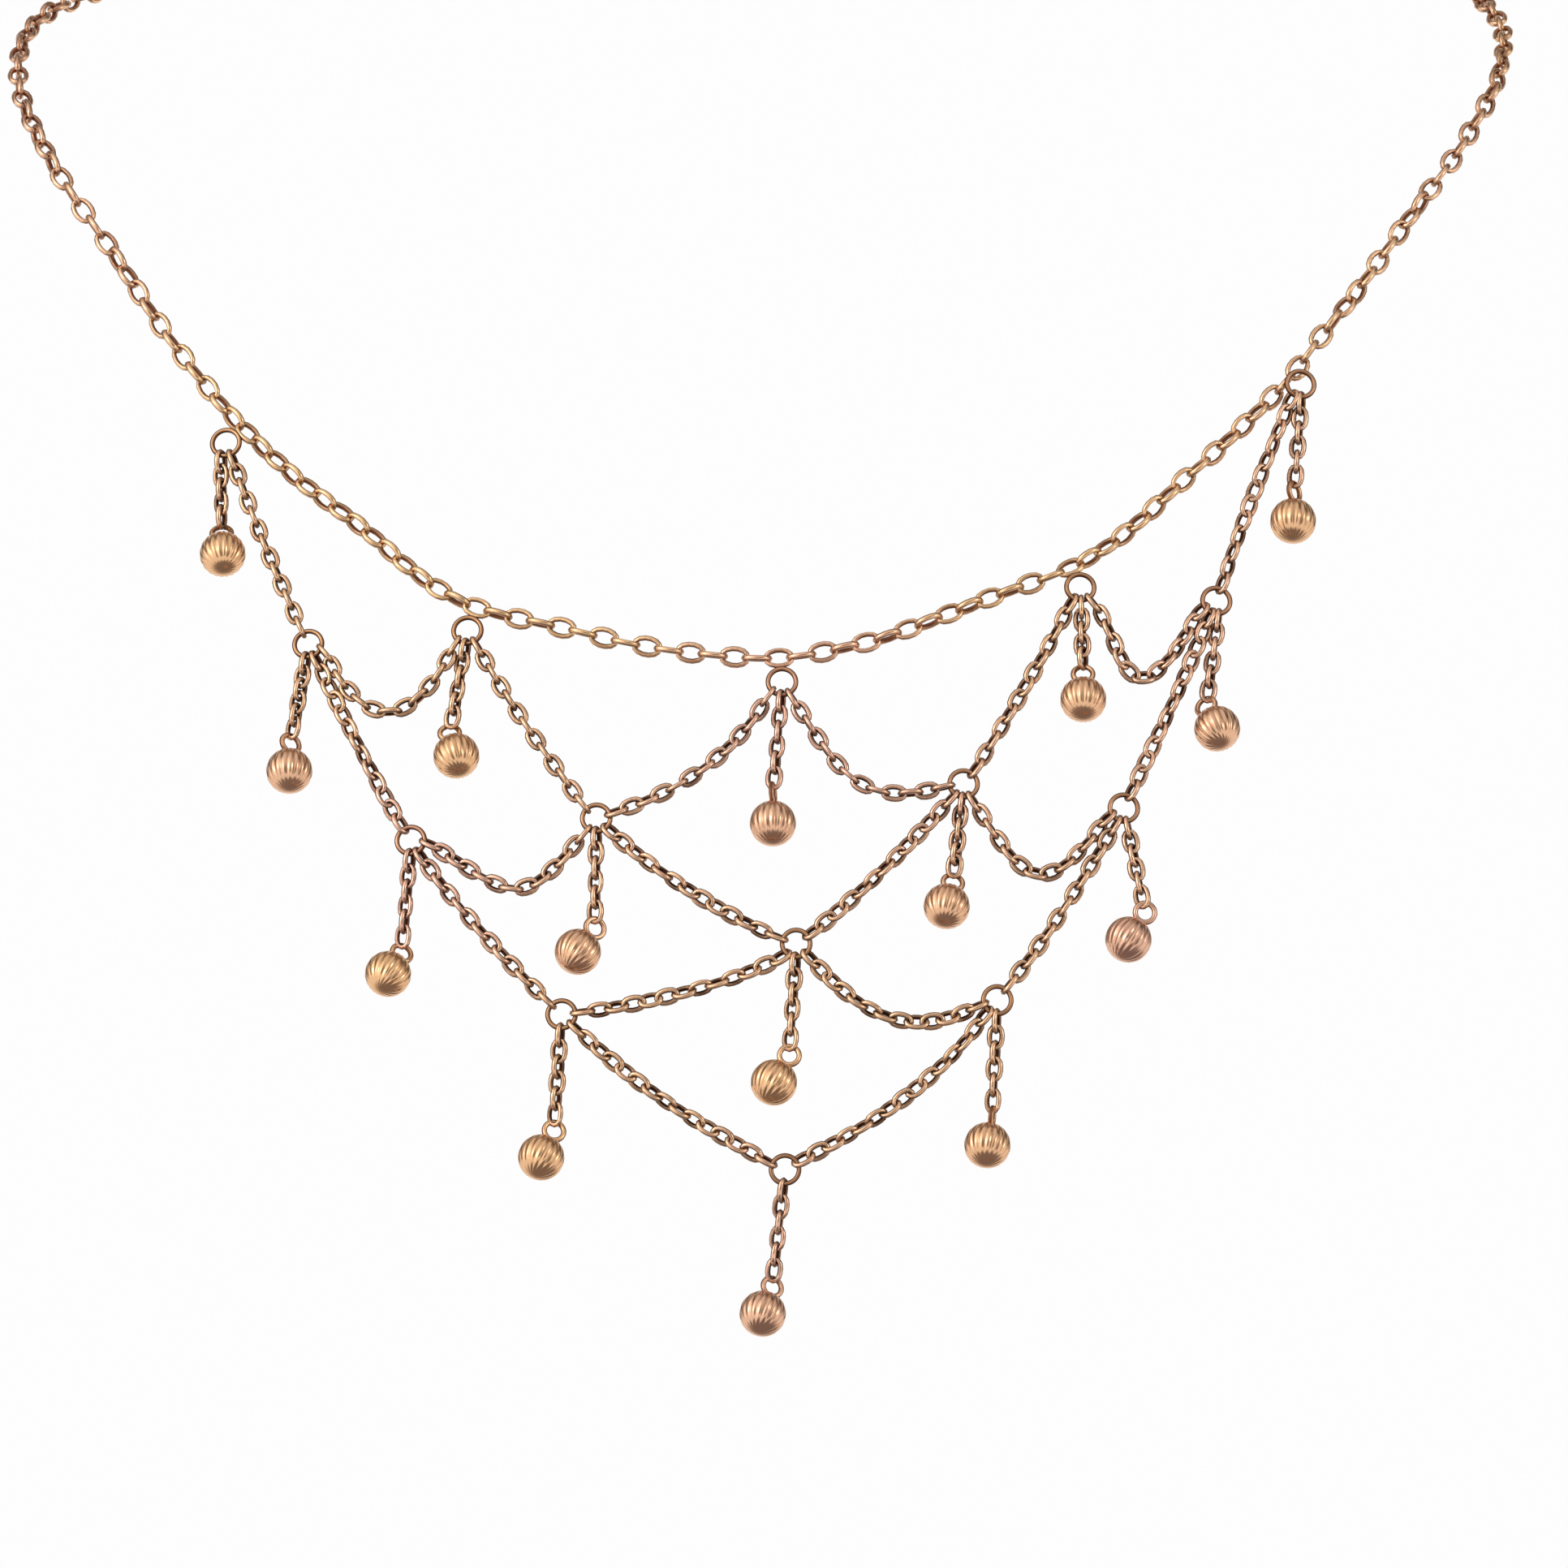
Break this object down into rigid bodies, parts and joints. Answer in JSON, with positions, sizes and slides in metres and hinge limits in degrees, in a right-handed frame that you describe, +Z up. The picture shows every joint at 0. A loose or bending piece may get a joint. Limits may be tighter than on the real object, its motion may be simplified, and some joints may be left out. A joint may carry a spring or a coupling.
{
  "type": "festoon necklace",
  "caption": "Gold trace-chain necklace with a net of fine chain swags across the front and a fluted ball hanging from every ring of the net.",
  "frame": {"origin": "middle of the neck hollow inside the worn loop, 48 mm behind and 36 mm above the lowest link at the front", "axes": "+Z up along the wearer's neck, the front faces -Y, +X to the right as seen from the front"},
  "size_m": [0.1518, 0.109, 0.1417],
  "materials": {
    "gold_wire": null,
    "gold_ball": null
  },
  "bodies": {
    "root": {"main_chain_left": "gold_wire", "main_chain_right": "gold_wire", "clasp": "gold_wire", "ring_a1": "gold_wire", "ring_a2": "gold_wire", "ring_a3": "gold_wire", "ring_a4": "gold_wire", "ring_a5": "gold_wire", "ring_b1": "gold_wire", "ring_b2": "gold_wire", "ring_b3": "gold_wire", "ring_b4": "gold_wire", "ring_c1": "gold_wire", "ring_c2": "gold_wire", "ring_c3": "gold_wire", "ring_d1": "gold_wire", "ring_d2": "gold_wire", "ring_e1": "gold_wire", "ball_a1": "gold_ball", "ball_a2": "gold_ball", "ball_a3": "gold_ball", "ball_a4": "gold_ball", "ball_a5": "gold_ball", "ball_b1": "gold_ball", "ball_b2": "gold_ball", "ball_b3": "gold_ball", "ball_b4": "gold_ball", "ball_c1": "gold_ball", "ball_c2": "gold_ball", "ball_c3": "gold_ball", "ball_d1": "gold_ball", "ball_d2": "gold_ball", "ball_e1": "gold_ball", "swag_a1_b1": "gold_wire", "swag_a2_b2": "gold_wire", "swag_b1_a2": "gold_wire", "swag_b2_a3": "gold_wire", "swag_a3_b3": "gold_wire", "swag_b3_a4": "gold_wire", "swag_a4_b4": "gold_wire", "swag_b4_a5": "gold_wire", "swag_b1_c1": "gold_wire", "swag_c1_b2": "gold_wire", "swag_b2_c2": "gold_wire", "swag_c2_b3": "gold_wire", "swag_b3_c3": "gold_wire", "swag_c3_b4": "gold_wire", "swag_c1_d1": "gold_wire", "swag_d1_c2": "gold_wire", "swag_c2_d2": "gold_wire", "swag_d2_c3": "gold_wire", "swag_d1_e1": "gold_wire", "swag_e1_d2": "gold_wire", "drops_a": "gold_wire", "drops_b": "gold_wire", "drops_c": "gold_wire", "drops_d": "gold_wire", "drops_e": "gold_wire"}
  },
  "joints": []
}
